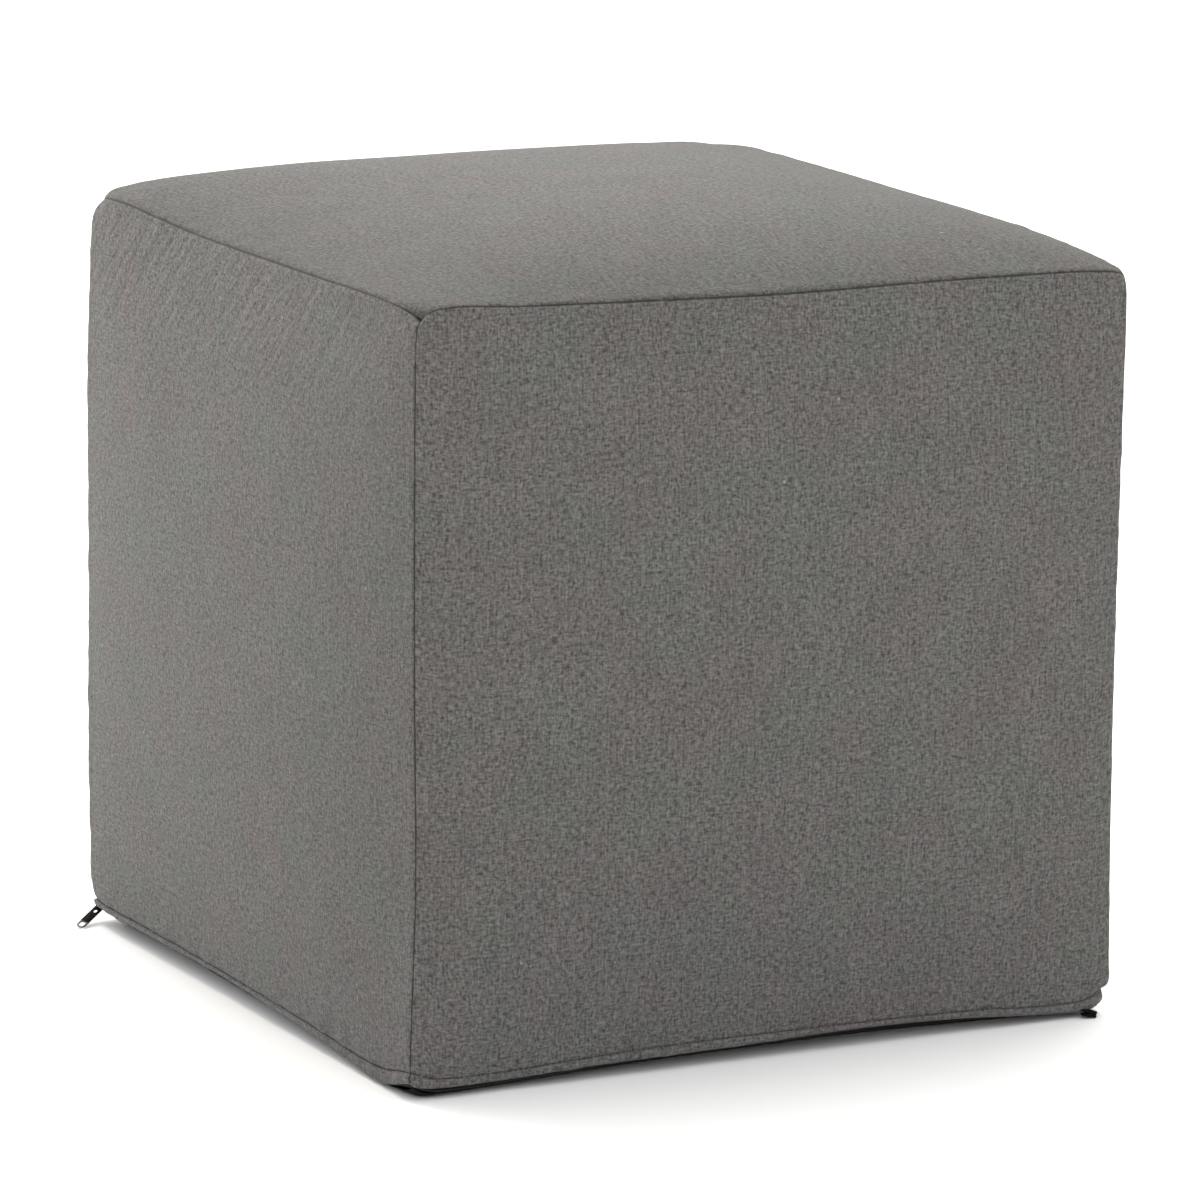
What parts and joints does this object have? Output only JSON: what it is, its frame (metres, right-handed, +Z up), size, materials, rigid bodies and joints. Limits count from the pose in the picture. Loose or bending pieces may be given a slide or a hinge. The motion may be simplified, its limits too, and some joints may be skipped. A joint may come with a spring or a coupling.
{
  "type": "cube pouf stool",
  "caption": "Soft square floor stool: a firmly filled cube of seamed grey canvas with a turned hem, a dark base cloth and a hidden zip, used as a seat, footrest or side table.",
  "frame": {"origin": "on the floor under the middle of the stool, on the flat of the base cloth", "axes": "+Z up; the front is -Y and the left side is -X; the zip runs under those two sides, from the back left corner round to the front right one"},
  "size_m": [0.4834, 0.4809, 0.4819],
  "materials": {
    "grey_canvas": "heathered plain-weave outdoor canvas, matte",
    "black_cloth": "black base cloth, matte",
    "zip_black": "black woven zip tape with a nylon coil",
    "zip_metal": "black enamel, worn to bare metal at the tip of the tab"
  },
  "bodies": {
    "root": {"filled_cube": "grey_canvas", "base_panel": "black_cloth", "zip_tape": "zip_black", "zip_slider_left": "zip_metal", "zip_slider_right": "zip_metal", "zip_pull": "zip_metal"}
  },
  "joints": []
}
